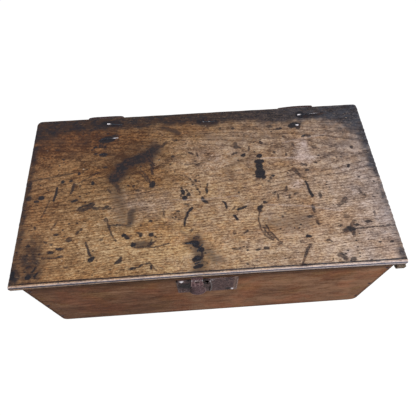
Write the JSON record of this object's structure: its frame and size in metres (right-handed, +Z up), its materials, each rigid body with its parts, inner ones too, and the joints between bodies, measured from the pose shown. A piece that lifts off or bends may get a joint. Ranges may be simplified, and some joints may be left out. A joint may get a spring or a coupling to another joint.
{
  "type": "boarded oak box",
  "caption": "Low rectangular oak box with a hinged one-board lid, iron strap hinges and an iron hasp that shuts into a key-worked sliding-bolt lock.",
  "frame": {"origin": "middle of the underside of the bottom board, where the box stands", "axes": "+Z up, -Y out of the front with the lock, +X to the right seen from the front"},
  "size_m": [0.66, 0.3753, 0.2246],
  "materials": {
    "oak_lid": "worn old wax, stained",
    "oak_front": "old wax, satin",
    "oak_dark": "dark, dry",
    "iron": "forged, dark oxide",
    "iron_worn": "forged, rubbed"
  },
  "bodies": {
    "box": {"front_board": "oak_front", "back_board": "oak_dark", "left_side_board": "oak_dark", "right_side_board": "oak_dark", "bottom_board": "oak_dark", "front_nails": "iron", "back_nails": "iron", "bottom_nails": "iron", "left_hinge_leaf": "iron", "right_hinge_leaf": "iron", "left_hinge_pin": "iron_worn", "right_hinge_pin": "iron_worn", "left_leaf_nails": "iron", "right_leaf_nails": "iron", "lock_plate": "iron", "lock_plate_nails": "iron", "key_guard": "iron_worn", "bolt_guides": "iron", "bolt_keeper": "iron", "bolt_spring": "iron_worn", "key_ward": "iron", "lock_cap": "iron"},
    "lid": {"lid_board": "oak_lid", "left_cleat": "oak_dark", "right_cleat": "oak_dark", "cleat_nails": "iron", "left_lid_strap": "iron", "right_lid_strap": "iron", "left_strap_nails": "iron", "right_strap_nails": "iron", "old_lid_nail": "iron", "hasp_strap": "iron", "hasp_strap_nails": "iron", "hasp_pin": "iron_worn"},
    "hasp": {"hasp_plate": "iron", "hasp_staple": "iron_worn"},
    "bolt": {"lock_bolt": "iron_worn"}
  },
  "joints": [
    {"name": "lid_open", "type": "hinge", "parent": "box", "child": "lid", "pos_m": [0, 0.1802, 0.214], "axis": [-1, 0, 0], "range_deg": [0, 105]},
    {"name": "hasp_swing", "type": "hinge", "parent": "lid", "child": "hasp", "pos_m": [-0.0233, -0.1856, 0.2054], "axis": [-1, 0, 0], "range_deg": [-14, 95]},
    {"name": "bolt_slide", "type": "slide", "parent": "box", "child": "bolt", "axis": [-1, 0, 0], "range_m": [0, 0.014]}
  ]
}
